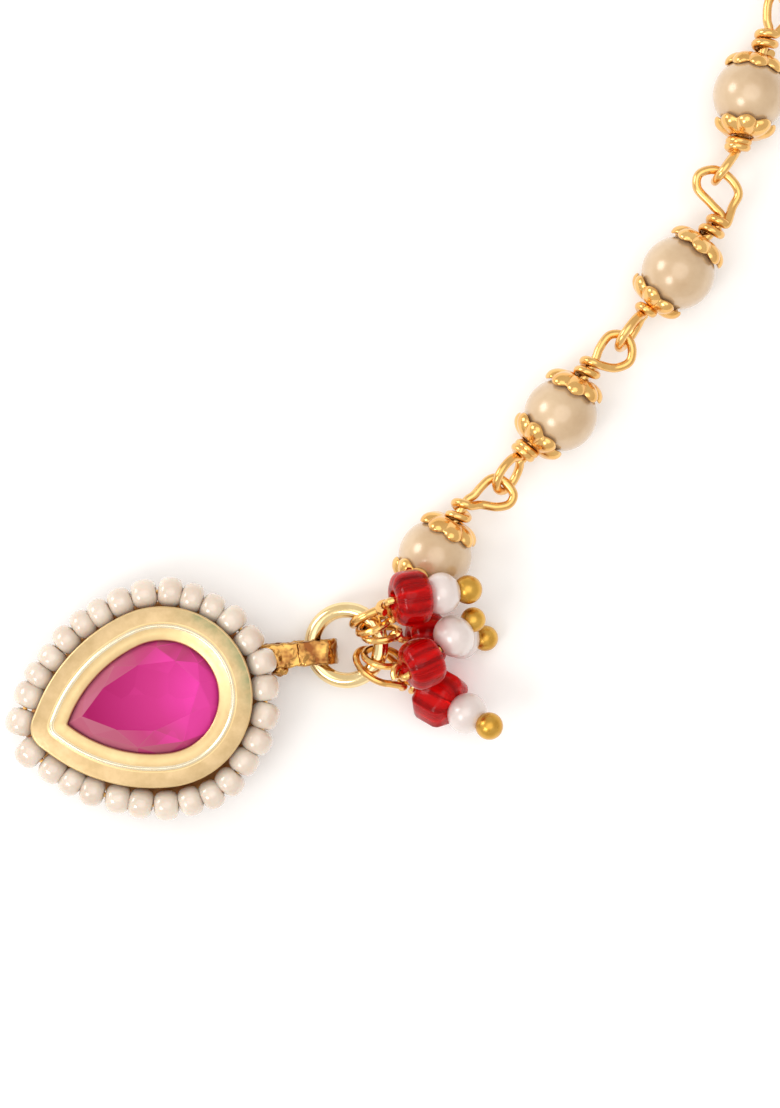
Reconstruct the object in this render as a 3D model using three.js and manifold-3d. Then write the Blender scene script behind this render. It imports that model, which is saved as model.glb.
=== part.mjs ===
// A nath, a nose ornament, laid flat: a pear-shaped stone in a gold setting ringed with seed beads,
// a jump ring that carries four bead drops, and a chain of capped pearls that ends in a hair hook.
// Millimetres, +Z up. The origin is the middle of the nose clip's flat underside, on which it rests,
// below the middle of the stone's round end.
import * as THREE from "three";
import { mergeVertices } from "three/addons/utils/BufferGeometryUtils.js";
import Module from "manifold-3d";

const wasm = await Module();
wasm.setup();

// Stone and setting: the pear outline is a head circle, two flank arcs and a tip. Its head's middle is a
// little off the middle of the clip.
const settingTurn = 16.1;
const pear = { headRadius: 4.34, tipDistance: 7.72, flankRadius: 10.93, x: 0.35, y: 0.09 };
const stoneSize = { grow: 0.3, backZ: 4.1, girdleZ: 5.2, girdleHeight: 0.15, tableZ: 6.9, tableScale: 0.7 };
const rim = { wallGrow: 2.6, plateGrow: 2.88, ridgeGrow: 1.5, cavityGrow: 0.6, tipPoint: 0.1 };
const level = { plateBottom: 3, cupFloor: 3.8, flange: 5.6, rimTop: 6.3, ridgeTop: 6.5, lipTop: 6.15 };
const clip = { halfLength: 4.2, width: 3, thickness: 0.6, gap: 1.8, topEnd: 1.5 };
const bail = {
  start: 3.5, endX: 14.7, y: 3.5, width: 2.15, thickness: 0.48, stemThickness: 0.75, topZ: 3.25, bottomZ: 0.35,
};

// Seed beads strung round the setting, with a wider gap at the tip.
const seed = { count: 29, length: 1.92, diameter: 2.36, grow: 4.15, z: 4.85, tipGap: 2.8, wire: 0.7 };

// Jump ring, tipped up a little on the side of the drops.
const ring = { x: 15.33, y: 4.26, z: 2.4, radius: 2.9, wire: 1.3, tilt: 12 };

// Beads of a drop, along its pin.
const redBead = { diameter: 4.4, length: 3.05, bore: 1 };
const whitePearl = { diameter: 3.4, length: 2.8, bore: 1 };
const headPin = { wire: 0.56, ball: 2.2 };

// Chain link: a bored pearl between two flower caps on one wire with wrapped loops.
const pearl = { diameter: 6, bore: 1.1 };
const cap = { petals: 6, valley: 0.45, lobe: 0.12 };
// Rows of radius and distance from the pearl's middle, from the cap's hole to its petal tips.
const capOutside = [[0.8, 3.46], [1.4, 3.4], [2.02, 3.05], [2.4, 2.55], [2.5, 2.05]];
const capInside = [[0.8, 3.16], [1.28, 3.12], [1.8, 2.82], [2.13, 2.42], [2.27, 2.05]];
const wire = { diameter: 0.7, wrapDiameter: 2.1, wrapLength: 1.2, loopRound: 0.72 };
const chainHeight = pearl.diameter / 2;

// Hair hook: eye, straight shank, round bend and free leg, lying on the floor.
const hook = { wire: 0.9, eye: 1.25, shankX: 52.2, shankStart: 62.9, bendY: 68.4, bendRadius: 2.95, legEnd: 63.6 };

// Where the lower loop of a link crosses the wire that it hangs on; the first one hangs on the ring.
const hangs = {
  first: { x: 28.28, y: 17.78 },
  second: { x: 38.25, y: 29.44 },
  third: { x: 46.1, y: 43.05 },
};
const ringHangAngle = 51;

// One row for each link: pearl middle and axis angle, distance of each wrap from the pearl's middle,
// far end and half width of the flat upper loop, half width of the lower loop and its roll from upright,
// and the tilt of each cap on the pearl.
const links = [
  { name: "link_1", x: 22.51, y: 11.48, axis: 56, upperWrap: 4.3, lowerWrap: 4.3, farX: 28.5, farY: 17.63,
    upperHalf: 1.45, hang: "ring", lowerHalf: 1.75, roll: 10, upperTilt: 4, lowerTilt: -4 },
  { name: "link_2", x: 32.8, y: 23.04, axis: 50, upperWrap: 4.35, lowerWrap: 4.3, farX: 38.25, farY: 29.44,
    upperHalf: 1.4, hang: "first", lowerHalf: 1.5, roll: 20, upperTilt: 4, lowerTilt: -4 },
  { name: "link_3", x: 42.44, y: 34.69, axis: 51, upperWrap: 5.3, lowerWrap: 4.3, farX: 45.3, farY: 43,
    upperHalf: 1.85, hang: "second", lowerHalf: 1.4, roll: 12, upperTilt: 2, lowerTilt: -4 },
  { name: "link_4", x: 48.3, y: 49.28, axis: 75, upperWrap: 4.9, lowerWrap: 4.3, farX: 51.5, farY: 58.02,
    upperHalf: 1.6, hang: "third", lowerHalf: 1.5, roll: 0, upperTilt: -3, lowerTilt: 0 },
];

// One row for each drop: middle of the red bead, heading and slope of the pin, space between its beads,
// and its eye on the ring (angle round the ring, radius, lean from upright).
const drops = [
  { name: "drop_1", x: 20.5, y: 8.1, z: 7.3, heading: 8, slope: -16, space: 0.05, eyeAngle: 23, eye: 1.25, lean: 30 },
  { name: "drop_2", x: 21.8, y: 4.6, z: 2.28, heading: 1, slope: -12, space: 0.05, eyeAngle: 0, eye: 1.25, lean: 30 },
  { name: "drop_3", x: 21.42, y: 2.8, z: 6.65, heading: 40, slope: -17, space: 0.4, eyeAngle: -23, eye: 1.25, lean: 30 },
  { name: "drop_4", x: 22.9, y: -0.15, z: 2.2, heading: -29, slope: 32, space: 0.05, eyeAngle: -51, eye: 1.75, lean: 42 },
];

const gold = new THREE.MeshStandardMaterial({ color: 0xd9a94f, metalness: 1, roughness: 0.3 });
const paleGold = new THREE.MeshStandardMaterial({ color: 0xe0c58c, metalness: 0.9, roughness: 0.45 });
const pinkStone = new THREE.MeshStandardMaterial({ color: 0xb81468, metalness: 0, roughness: 0.1 });
const whiteGlass = new THREE.MeshStandardMaterial({ color: 0xeadccd, metalness: 0, roughness: 0.25 });
const champagne = new THREE.MeshStandardMaterial({ color: 0xdec9a4, metalness: 0, roughness: 0.25 });
const redGlass = new THREE.MeshStandardMaterial({ color: 0xb01018, metalness: 0, roughness: 0.15 });

const nath = new THREE.Group();
nath.name = "nath";
const degrees = Math.PI / 180;
const up = new THREE.Vector3(0, 0, 1);

// A direction on the floor plane, lifted by a slope.
function heading(angle, slope = 0) {
  const flat = Math.cos(slope * degrees);
  return new THREE.Vector3(
    flat * Math.cos(angle * degrees),
    flat * Math.sin(angle * degrees),
    Math.sin(slope * degrees),
  );
}

function addPiece(name, geometry, material, parent = nath) {
  const mesh = new THREE.Mesh(geometry, material);
  mesh.name = name;
  parent.add(mesh);
  return mesh;
}

// The solid of a closed geometry, and the geometry of a solid.
function solidOf(geometry) {
  const bare = geometry.clone();
  bare.deleteAttribute("normal");
  bare.deleteAttribute("uv");
  const merged = mergeVertices(bare, 1e-4);
  const corners = merged.index.array;
  const triVerts = [];
  for (let i = 0; i < corners.length; i += 3) {
    const [a, b, c] = corners.slice(i, i + 3);
    if (a !== b && b !== c && c !== a) triVerts.push(a, b, c);
  }
  return new wasm.Manifold(
    new wasm.Mesh({
      numProp: 3,
      vertProperties: merged.attributes.position.array,
      triVerts: new Uint32Array(triVerts),
    }),
  );
}

function joined(geometries) {
  const whole = geometries.map(solidOf).reduce((sum, next) => sum.add(next));
  const mesh = whole.getMesh();
  const geometry = new THREE.BufferGeometry();
  geometry.setAttribute("position", new THREE.BufferAttribute(mesh.vertProperties, 3));
  geometry.setIndex(new THREE.BufferAttribute(mesh.triVerts, 1));
  geometry.computeVertexNormals();
  return geometry;
}

// A skin through equal rings of points. Open ends are closed flat; a round one joins last to first.
function loft(rings, round = false) {
  const count = rings[0].length;
  const positions = rings.flat().flatMap((p) => [p.x, p.y, p.z]);
  const index = [];
  const bands = round ? rings.length : rings.length - 1;
  for (let k = 0; k < bands; k++) {
    const low = k * count;
    const high = ((k + 1) % rings.length) * count;
    for (let i = 0; i < count; i++) {
      const j = (i + 1) % count;
      index.push(low + i, low + j, high + j, low + i, high + j, high + i);
    }
  }
  if (!round) {
    const addEnd = (points, first, flip) => {
      const middle = points.reduce((sum, p) => sum.add(p), new THREE.Vector3()).divideScalar(count);
      const centre = positions.length / 3;
      positions.push(middle.x, middle.y, middle.z);
      for (let i = 0; i < count; i++) {
        const j = (i + 1) % count;
        index.push(centre, first + (flip ? j : i), first + (flip ? i : j));
      }
    };
    addEnd(rings[0], 0, true);
    addEnd(rings[rings.length - 1], (rings.length - 1) * count, false);
  }
  const geometry = new THREE.BufferGeometry();
  geometry.setAttribute("position", new THREE.Float32BufferAttribute(positions, 3));
  geometry.setIndex(index);
  geometry.computeVertexNormals();
  return geometry;
}

// Points of an arc from one angle to another, in radians.
function arcPoints(centre, radius, from, to, steps) {
  const points = [];
  for (let i = 0; i < steps; i++) {
    const angle = from + ((to - from) * i) / steps;
    points.push(new THREE.Vector2(centre.x + radius * Math.cos(angle), centre.y + radius * Math.sin(angle)));
  }
  return points;
}

// The pear outline grown outwards, anticlockwise, with its tip along -X and its head round the origin.
function pearOutline(grow, { head = 18, flank = 5, tip = 5 } = {}) {
  const { headRadius: r, tipDistance: d, flankRadius: R } = pear;
  const bend = Math.asin((2 * R * r - r * r - d * d) / (2 * d * (R - r)));
  const tipPoint = new THREE.Vector2(-d, 0);
  const flankX = (R - r) * Math.sin(bend);
  const flankY = (R - r) * Math.cos(bend);
  const topFlank = new THREE.Vector2(flankX, -flankY);
  const lowFlank = new THREE.Vector2(flankX, flankY);
  const tangent = Math.PI / 2 + bend;
  const tipAngle = Math.atan2(flankY, -d - flankX);
  const half = Math.PI - tipAngle;
  const tipArc = arcPoints(new THREE.Vector2(), 1, -half, half, tip).map((p) => {
    const share = Math.atan2(p.y, p.x) / half;
    const reach = grow * (1 + rim.tipPoint * (1 - share * share));
    return new THREE.Vector2(tipPoint.x - reach * p.x, tipPoint.y - reach * p.y);
  });
  return [
    ...arcPoints(new THREE.Vector2(), r + grow, -tangent, tangent, head),
    ...arcPoints(topFlank, R + grow, tangent, tipAngle, flank),
    ...tipArc,
    ...arcPoints(lowFlank, R + grow, -tipAngle, -tangent, flank),
  ];
}

function pearRing(grow, z, scale = 1, counts = {}) {
  const middle = -1.6;
  return pearOutline(grow, counts).map(
    (p) => new THREE.Vector3(middle + (p.x - middle) * scale, p.y * scale, z),
  );
}

// A bored round piece from its outer profile of radius and height rows, round the Y axis.
function bored(profile, bore, segments) {
  const low = profile[0];
  const high = profile[profile.length - 1];
  const points = [[bore / 2, low[1]], ...profile, [bore / 2, high[1]], [bore / 2, low[1]]];
  return new THREE.LatheGeometry(points.map(([x, y]) => new THREE.Vector2(x, y)), segments);
}

// Profile of a ball flattened to a length, from bore to bore.
function roundProfile(diameter, length, bore, steps) {
  const start = Math.asin((bore * 1.15) / diameter);
  const profile = [];
  for (let i = 0; i <= steps; i++) {
    const angle = -Math.PI / 2 + start + ((Math.PI - 2 * start) * i) / steps;
    profile.push([(diameter / 2) * Math.cos(angle), (length / 2) * Math.sin(angle)]);
  }
  return profile;
}

// A round wire along a path.
function rod(path, diameter, steps, sides = 6) {
  const shape = new THREE.Shape();
  for (let i = 0; i < sides; i++) {
    const angle = (2 * Math.PI * (i + 0.5)) / sides;
    const x = (diameter / 2) * Math.cos(angle);
    const y = (diameter / 2) * Math.sin(angle);
    if (i === 0) shape.moveTo(x, y);
    else shape.lineTo(x, y);
  }
  shape.closePath();
  return new THREE.ExtrudeGeometry(shape, { extrudePath: path, steps, curveSegments: 1 });
}

// A closed wire loop, narrow at its start and round at its far end.
function wireLoop(start, far, side, halfWidth, diameter, steps = 18, sides = 6) {
  const rings = [];
  const along = far.clone().sub(start);
  const forward = along.clone().normalize();
  const flat = forward.clone().cross(side);
  const place = (turn) => {
    const reach = (1 - Math.cos(turn)) / 2;
    const width = halfWidth * Math.sin(turn) * (wire.loopRound + (1 - wire.loopRound) * reach);
    return start.clone().addScaledVector(along, reach).addScaledVector(side, width);
  };
  for (let i = 0; i < steps; i++) {
    const turn = (2 * Math.PI * i) / steps;
    const tangent = place(turn + 0.01).sub(place(turn - 0.01)).normalize();
    const outward = flat.clone().cross(tangent);
    const points = [];
    for (let k = 0; k < sides; k++) {
      const angle = (2 * Math.PI * (k + 0.5)) / sides;
      points.push(
        place(turn)
          .addScaledVector(outward, (diameter / 2) * Math.cos(angle))
          .addScaledVector(flat, (diameter / 2) * Math.sin(angle)),
      );
    }
    rings.push(points);
  }
  return loft(rings, true);
}

// A closed round eye of wire about a middle point, square to an axis.
function wireEye(middle, axis, radius, diameter, sides = 6, segments = 16) {
  const eye = new THREE.TorusGeometry(radius, diameter / 2, sides, segments);
  eye.applyQuaternion(new THREE.Quaternion().setFromUnitVectors(up, axis));
  return eye.translate(middle.x, middle.y, middle.z);
}

// Setting: the cup, with its bail and nose clip soldered on.
const setting = new THREE.Group();
setting.rotation.z = settingTurn * degrees;
nath.add(setting);

function cupGeometry() {
  const rows = [
    [2.1, level.plateBottom],
    [rim.wallGrow, level.plateBottom + 0.4],
    [rim.wallGrow, level.flange],
    [rim.plateGrow, level.flange + 0.15],
    [rim.plateGrow, level.rimTop - 0.15],
    [rim.plateGrow - 0.15, level.rimTop],
    [rim.ridgeGrow + 0.12, level.rimTop + 0.04],
    [rim.ridgeGrow, level.ridgeTop],
    [rim.ridgeGrow - 0.18, level.ridgeTop],
    [0.05, level.lipTop],
    [0.05, level.lipTop - 0.3],
    [rim.cavityGrow, level.lipTop - 0.5],
    [rim.cavityGrow, level.cupFloor],
  ];
  return loft(rows.map(([grow, z]) => pearRing(grow, z))).translate(pear.x, pear.y, 0);
}

// A bent strip from its side outline, standing on edge across the width and centred on y.
function strip(outline, width, y, hole = []) {
  const shape = new THREE.Shape(outline);
  if (hole.length) shape.holes.push(new THREE.Path(hole));
  const geometry = new THREE.ExtrudeGeometry(shape, { depth: width, bevelEnabled: false });
  geometry.rotateX(Math.PI / 2);
  return geometry.translate(0, y + width / 2, 0);
}

// The clip is a strip bent into a U: its upper leg is on the plate, its lower leg lies on the floor.
function clipGeometry() {
  const outer = clip.gap / 2 + clip.thickness;
  const top = 2 * outer + 0.15;
  const middle = new THREE.Vector2(-clip.halfLength, outer);
  const quarter = Math.PI / 2;
  return strip([
    new THREE.Vector2(clip.halfLength, 0),
    new THREE.Vector2(clip.halfLength, clip.thickness),
    ...arcPoints(middle, clip.gap / 2, -quarter, -3 * quarter, 10),
    new THREE.Vector2(-clip.halfLength, outer + clip.gap / 2),
    new THREE.Vector2(clip.topEnd, outer + clip.gap / 2),
    new THREE.Vector2(clip.topEnd, top),
    new THREE.Vector2(-clip.halfLength, top),
    ...arcPoints(middle, outer, quarter, 3 * quarter, 12),
    new THREE.Vector2(-clip.halfLength, 0),
  ], clip.width, 0);
}

// The bail is a strip folded round the ring, both ends on the back of the plate.
function bailGeometry() {
  const outer = (bail.topZ - bail.bottomZ) / 2;
  const inner = outer - bail.thickness;
  const middle = new THREE.Vector2(bail.endX - outer, bail.bottomZ + outer);
  const quarter = Math.PI / 2;
  const outline = [
    new THREE.Vector2(bail.start, bail.topZ - bail.stemThickness),
    new THREE.Vector2(middle.x - 4.1, bail.topZ - bail.stemThickness),
    new THREE.Vector2(middle.x - 1.4, bail.bottomZ),
    ...arcPoints(middle, outer, -quarter, quarter, 12),
    new THREE.Vector2(middle.x, bail.topZ),
    new THREE.Vector2(bail.start, bail.topZ),
  ];
  const eye = [
    ...arcPoints(middle, inner, -quarter, quarter, 8),
    new THREE.Vector2(middle.x, middle.y + inner),
    new THREE.Vector2(middle.x - 3.1, middle.y + inner),
    new THREE.Vector2(middle.x - 1.15, middle.y - inner),
  ];
  return strip(outline, bail.width, bail.y, eye).rotateZ(-settingTurn * degrees);
}

addPiece("setting", joined([cupGeometry(), clipGeometry(), bailGeometry()]), paleGold, setting);

// Stone: flat back, girdle held under the lip, sloping crown and flat table.
function stoneGeometry() {
  const s = stoneSize;
  const counts = { head: 8, flank: 2, tip: 2 };
  return loft([
    pearRing(s.grow, s.backZ, 0.55, counts),
    pearRing(s.grow, s.girdleZ, 1, counts),
    pearRing(s.grow, s.girdleZ + s.girdleHeight, 1, counts),
    pearRing(s.grow, s.tableZ, s.tableScale, counts),
  ]).translate(pear.x, pear.y, 0);
}

addPiece("stone", stoneGeometry(), pinkStone, setting);

// Seed beads joined along their wire, in one skin that narrows to the wire between beads.
function seedGeometry() {
  const line = pearOutline(seed.grow, { head: 60, flank: 20, tip: 14 });
  const start = line.reduce((best, p, i) => (p.x < line[best].x ? i : best), 0);
  const path = line.slice(start).concat(line.slice(0, start));
  const curve = new THREE.CatmullRomCurve3(path.map((p) => new THREE.Vector3(p.x, p.y, seed.z)), true);
  const total = curve.getLength();
  const pitch = (total - seed.tipGap) / (seed.count - 1);
  const sides = 8;
  const rows = [
    { along: -pitch / 2, radius: seed.wire / 2 },
    { along: -seed.length * 0.46, radius: seed.diameter * 0.33 },
    { along: -seed.length * 0.2, radius: seed.diameter / 2 },
    { along: seed.length * 0.2, radius: seed.diameter / 2 },
    { along: seed.length * 0.46, radius: seed.diameter * 0.33 },
  ];
  const rings = [];
  for (let i = 0; i < seed.count; i++) {
    for (const { along, radius } of rows) {
      const at = (seed.tipGap / 2 + i * pitch + along) / total;
      const middle = curve.getPointAt(at);
      const outward = up.clone().cross(curve.getTangentAt(at)).normalize();
      const points = [];
      for (let k = 0; k < sides; k++) {
        const angle = (2 * Math.PI * k) / sides;
        points.push(
          middle
            .clone()
            .addScaledVector(outward, radius * Math.cos(angle))
            .addScaledVector(up, -radius * Math.sin(angle)),
        );
      }
      rings.push(points.reverse());
    }
  }
  return loft(rings, true).translate(pear.x, pear.y, 0);
}

addPiece("seed_beads", seedGeometry(), whiteGlass, setting);

// Jump ring, and points and directions on it.
const ringTurn = new THREE.Quaternion().setFromAxisAngle(new THREE.Vector3(0, -1, 0), ring.tilt * degrees);
const ringMiddle = new THREE.Vector3(ring.x, ring.y, ring.z);

function onRing(angle) {
  const outward = heading(angle).applyQuaternion(ringTurn);
  const along = heading(angle + 90).applyQuaternion(ringTurn);
  const point = ringMiddle.clone().addScaledVector(outward, ring.radius);
  return { point, outward, along };
}

const ringGeometry = new THREE.TorusGeometry(ring.radius, ring.wire / 2, 8, 30);
ringGeometry.applyQuaternion(ringTurn).translate(ring.x, ring.y, ring.z);
addPiece("jump_ring", ringGeometry, gold);

// Drops: the eye on the ring, a bent stem, then the straight pin through both beads to the ball.
function addDrop(row) {
  const axis = heading(row.heading, row.slope);
  const red = new THREE.Vector3(row.x, row.y, row.z);
  const pearlAt = (redBead.length + whitePearl.length) / 2 + row.space;
  const ballAt = pearlAt + whitePearl.length / 2 + headPin.ball / 2;
  const back = red.clone().addScaledVector(axis, -redBead.length / 2 - 0.1);
  const { point, outward, along } = onRing(row.eyeAngle);
  const lift = row.lean * degrees;
  const ringNormal = outward.clone().cross(along);
  const eyeAxis = along.clone().multiplyScalar(Math.cos(lift)).addScaledVector(ringNormal, Math.sin(lift));
  const slack = row.eye - headPin.wire / 2 - ring.wire / 2 - 0.2;
  const eyeMiddle = point.clone().addScaledVector(outward, slack);
  const aim = back.clone().sub(eyeMiddle).projectOnPlane(eyeAxis).normalize();
  const leave = eyeMiddle.clone().addScaledVector(aim, row.eye);
  const path = new THREE.CurvePath();
  path.add(new THREE.QuadraticBezierCurve3(leave, back.clone().addScaledVector(axis, -0.9), back));
  path.add(new THREE.LineCurve3(back, red.clone().addScaledVector(axis, ballAt)));
  const ball = new THREE.SphereGeometry(headPin.ball / 2, 10, 7);
  const ballMiddle = red.clone().addScaledVector(axis, ballAt);
  ball.translate(ballMiddle.x, ballMiddle.y, ballMiddle.z);
  const eye = wireEye(eyeMiddle, eyeAxis, row.eye, headPin.wire);
  addPiece(`${row.name}_head_pin`, joined([eye, rod(path, headPin.wire, 13), ball]), gold);

  const beads = new THREE.Group();
  beads.position.copy(red);
  beads.quaternion.setFromUnitVectors(new THREE.Vector3(0, 1, 0), axis);
  nath.add(beads);
  const r = redBead.diameter / 2;
  const h = redBead.length / 2;
  const redProfile = [[r * 0.7, -h], [r, -h * 0.45], [r, h * 0.45], [r * 0.7, h]];
  addPiece(`${row.name}_red_bead`, bored(redProfile, redBead.bore, 10), redGlass, beads);
  const round = roundProfile(whitePearl.diameter, whitePearl.length, whitePearl.bore, 6);
  const white = addPiece(`${row.name}_white_pearl`, bored(round, whitePearl.bore, 12), whiteGlass, beads);
  white.position.y = pearlAt;
}

drops.forEach(addDrop);

// A flower cap round the Y axis: a deep cup over the pearl's end whose rim opens into rounded petals.
function capGeometry() {
  const around = cap.petals * 4;
  const ringAt = ([radius, height], k, rows) => {
    const share = k / (rows.length - 1);
    const points = [];
    for (let i = 0; i < around; i++) {
      const between = (1 - Math.cos((2 * Math.PI * cap.petals * i) / around)) / 2;
      const reach = radius - cap.lobe * between * share;
      const turn = (-2 * Math.PI * i) / around;
      const rise = height + cap.valley * between * share * share;
      points.push(new THREE.Vector3(reach * Math.cos(turn), rise, reach * Math.sin(turn)));
    }
    return points;
  };
  const outside = capOutside.map(ringAt).reverse();
  const inside = capInside.map(ringAt);
  return loft([...outside, ...inside], true);
}

// The wire wrapped round itself: two ribs of a short sleeve about the Y axis.
function wrapGeometry(middle, sense) {
  const r = wire.wrapDiameter / 2;
  const h = wire.wrapLength / 2;
  const rows = [
    [0, -h], [r * 0.75, -h], [r, -h * 0.65], [r, -h * 0.3], [r * 0.84, 0],
    [r, h * 0.3], [r, h * 0.65], [r * 0.75, h], [0, h],
  ];
  const sleeve = new THREE.LatheGeometry(rows.map(([x, y]) => new THREE.Vector2(x, y)), 8);
  return sleeve.translate(0, sense * middle, 0);
}

function addLink(row) {
  const link = new THREE.Group();
  link.position.set(row.x, row.y, chainHeight);
  link.rotation.z = (row.axis - 90) * degrees;
  nath.add(link);
  const toLink = (p) => p.clone().sub(link.position).applyAxisAngle(up, -link.rotation.z);
  const inset = wire.wrapLength / 2 - 0.3;

  const upperStart = new THREE.Vector3(0, row.upperWrap + inset, 0);
  const upperFar = toLink(new THREE.Vector3(row.farX, row.farY, chainHeight));
  const upperSide = upperFar.clone().sub(upperStart).normalize().cross(up);
  const upperLoop = wireLoop(upperStart, upperFar, upperSide, row.upperHalf, wire.diameter);

  const onTheRing = row.hang === "ring";
  const lowerStart = new THREE.Vector3(0, -row.lowerWrap - inset, 0);
  const crossing = onTheRing
    ? onRing(ringHangAngle).point
    : new THREE.Vector3(hangs[row.hang].x, hangs[row.hang].y, chainHeight);
  const hang = toLink(crossing);
  const reach = ((onTheRing ? ring.wire : wire.diameter) + wire.diameter) / 2 + 0.3;
  const lowerAlong = hang.clone().sub(lowerStart).normalize();
  const lowerFar = hang.clone().addScaledVector(lowerAlong, reach);
  const across = lowerAlong.clone().cross(up).normalize();
  const upright = across.clone().cross(lowerAlong);
  const lowerSide = upright
    .multiplyScalar(Math.cos(row.roll * degrees))
    .addScaledVector(across, Math.sin(row.roll * degrees));
  const lowerLoop = wireLoop(lowerStart, lowerFar, lowerSide, row.lowerHalf, wire.diameter);

  const coreLength = row.upperWrap + row.lowerWrap;
  const core = new THREE.CylinderGeometry(wire.diameter / 2, wire.diameter / 2, coreLength, 8);
  core.translate(0, (row.upperWrap - row.lowerWrap) / 2, 0);
  const wraps = [wrapGeometry(row.upperWrap, 1), wrapGeometry(row.lowerWrap, -1)];
  addPiece(`${row.name}_wire`, joined([core, ...wraps, upperLoop, lowerLoop]), gold, link);

  const ball = roundProfile(pearl.diameter, pearl.diameter, pearl.bore, 9);
  addPiece(`${row.name}_pearl`, bored(ball, pearl.bore, 16), champagne, link);
  const upperCap = addPiece(`${row.name}_cap_upper`, capGeometry(), gold, link);
  upperCap.rotation.z = row.upperTilt * degrees;
  const lowerCap = addPiece(`${row.name}_cap_lower`, capGeometry(), gold, link);
  lowerCap.rotation.z = Math.PI + row.lowerTilt * degrees;
}

links.forEach(addLink);

// Hair hook in the last loop.
function hookGeometry() {
  const last = links[links.length - 1];
  const hang = new THREE.Vector3(last.farX, last.farY, chainHeight);
  const tail = new THREE.Vector3(last.x, last.y, chainHeight).addScaledVector(heading(last.axis), last.upperWrap);
  const away = hang.clone().sub(tail).normalize();
  const slack = hook.eye - hook.wire / 2 - wire.diameter / 2 - 0.1;
  const eyeMiddle = hang.clone().addScaledVector(away, slack);
  const eye = wireEye(eyeMiddle, away.clone().cross(up), hook.eye, hook.wire, 6, 16);
  const lowZ = hook.wire / 2;
  const leave = eyeMiddle.clone().addScaledVector(away, hook.eye);
  const path = new THREE.CurvePath();
  const landing = new THREE.Vector3(hook.shankX, hook.shankStart, lowZ);
  const bendStart = new THREE.Vector3(hook.shankX, hook.bendY, lowZ);
  path.add(new THREE.CubicBezierCurve3(
    leave,
    leave.clone().addScaledVector(away, 1.2),
    landing.clone().add(new THREE.Vector3(0, -1.8, 0)),
    landing,
  ));
  path.add(new THREE.LineCurve3(landing, bendStart));
  const bend = [];
  for (let i = 0; i <= 8; i++) {
    const turn = (Math.PI * i) / 8;
    bend.push(new THREE.Vector3(
      hook.shankX - hook.bendRadius + hook.bendRadius * Math.cos(turn),
      hook.bendY + hook.bendRadius * Math.sin(turn),
      lowZ,
    ));
  }
  path.add(new THREE.CatmullRomCurve3(bend));
  const legTop = bend[bend.length - 1];
  path.add(new THREE.LineCurve3(legTop, new THREE.Vector3(legTop.x, hook.legEnd, lowZ)));
  return joined([eye, rod(path, hook.wire, 34, 8)]);
}

addPiece("hair_hook", hookGeometry(), gold);

export default nath;
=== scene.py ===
import math
import random

import bmesh
import bpy
from mathutils import Matrix, Quaternion, Vector


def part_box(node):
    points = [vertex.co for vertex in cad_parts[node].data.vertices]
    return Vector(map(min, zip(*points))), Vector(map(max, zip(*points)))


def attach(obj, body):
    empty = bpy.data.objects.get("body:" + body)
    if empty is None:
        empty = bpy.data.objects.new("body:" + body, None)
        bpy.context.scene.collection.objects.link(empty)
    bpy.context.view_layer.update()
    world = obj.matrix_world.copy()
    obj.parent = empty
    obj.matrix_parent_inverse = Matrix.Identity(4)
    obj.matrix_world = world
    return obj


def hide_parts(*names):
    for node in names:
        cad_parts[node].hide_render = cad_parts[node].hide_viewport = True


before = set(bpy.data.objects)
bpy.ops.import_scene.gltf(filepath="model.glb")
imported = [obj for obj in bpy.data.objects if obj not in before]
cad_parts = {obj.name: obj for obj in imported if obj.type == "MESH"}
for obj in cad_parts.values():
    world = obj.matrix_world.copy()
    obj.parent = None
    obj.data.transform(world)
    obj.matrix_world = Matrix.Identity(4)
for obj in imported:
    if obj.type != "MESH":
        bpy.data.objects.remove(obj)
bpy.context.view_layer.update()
mm = 0.001
upward = Vector((0, 0, 1))
print("frame loaded,", len(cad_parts), "nodes")


# small helpers, all lengths in millimetres

def clearAll():
    if bpy.context.mode != "OBJECT":
        bpy.ops.object.mode_set(mode="OBJECT")
    bpy.ops.object.select_all(action="DESELECT")


def takeOnly(piece):
    clearAll()
    piece.select_set(True)
    bpy.context.view_layer.objects.active = piece


def pick(piece, kind, test):
    bpy.ops.mesh.select_mode(type=kind)
    bpy.ops.mesh.select_all(action="DESELECT")
    shape = bmesh.from_edit_mesh(piece.data)
    parts = {"VERT": shape.verts, "EDGE": shape.edges, "FACE": shape.faces}[kind]
    for part in parts:
        if test(part):
            part.select_set(True)
    shape.select_flush_mode()
    bmesh.update_edit_mesh(piece.data)


def applyModifier(piece, kind, **values):
    takeOnly(piece)
    modifier = piece.modifiers.new(kind.lower(), kind)
    for key, value in values.items():
        setattr(modifier, key, value)
    bpy.ops.object.modifier_apply(modifier=modifier.name)


def bevelEdges(piece, width, segments, angle):
    applyModifier(piece, "BEVEL", width=width * mm, segments=segments, limit_method="ANGLE",
                  angle_limit=math.radians(angle))


def copyPiece(piece):
    takeOnly(piece)
    bpy.ops.object.duplicate(linked=False)
    return bpy.context.object


def removePiece(piece):
    takeOnly(piece)
    bpy.ops.object.delete()


def placeAlong(piece, middle, axis, turn=0.0):
    piece.rotation_mode = "QUATERNION"
    aim = axis.to_track_quat("Z", "Y")
    piece.rotation_quaternion = aim @ Quaternion((0, 0, 1), math.radians(turn))
    piece.location = middle * mm


def finishPiece(piece, name, node, finish, angle=35):
    takeOnly(piece)
    piece.name = name
    piece.data.name = name
    bpy.ops.object.transform_apply(location=True, rotation=True, scale=True)
    bpy.ops.object.shade_smooth_by_angle(angle=math.radians(angle))
    if not piece.data.materials:
        piece.data.materials.append(finish)
    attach(piece, "root")
    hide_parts(node)
    return piece


def boxMiddle(node):
    low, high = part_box(node)
    return (low + high) / 2 / mm


def heading(angle):
    return Vector((math.cos(math.radians(angle)), math.sin(math.radians(angle)), 0))


# finishes

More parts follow.
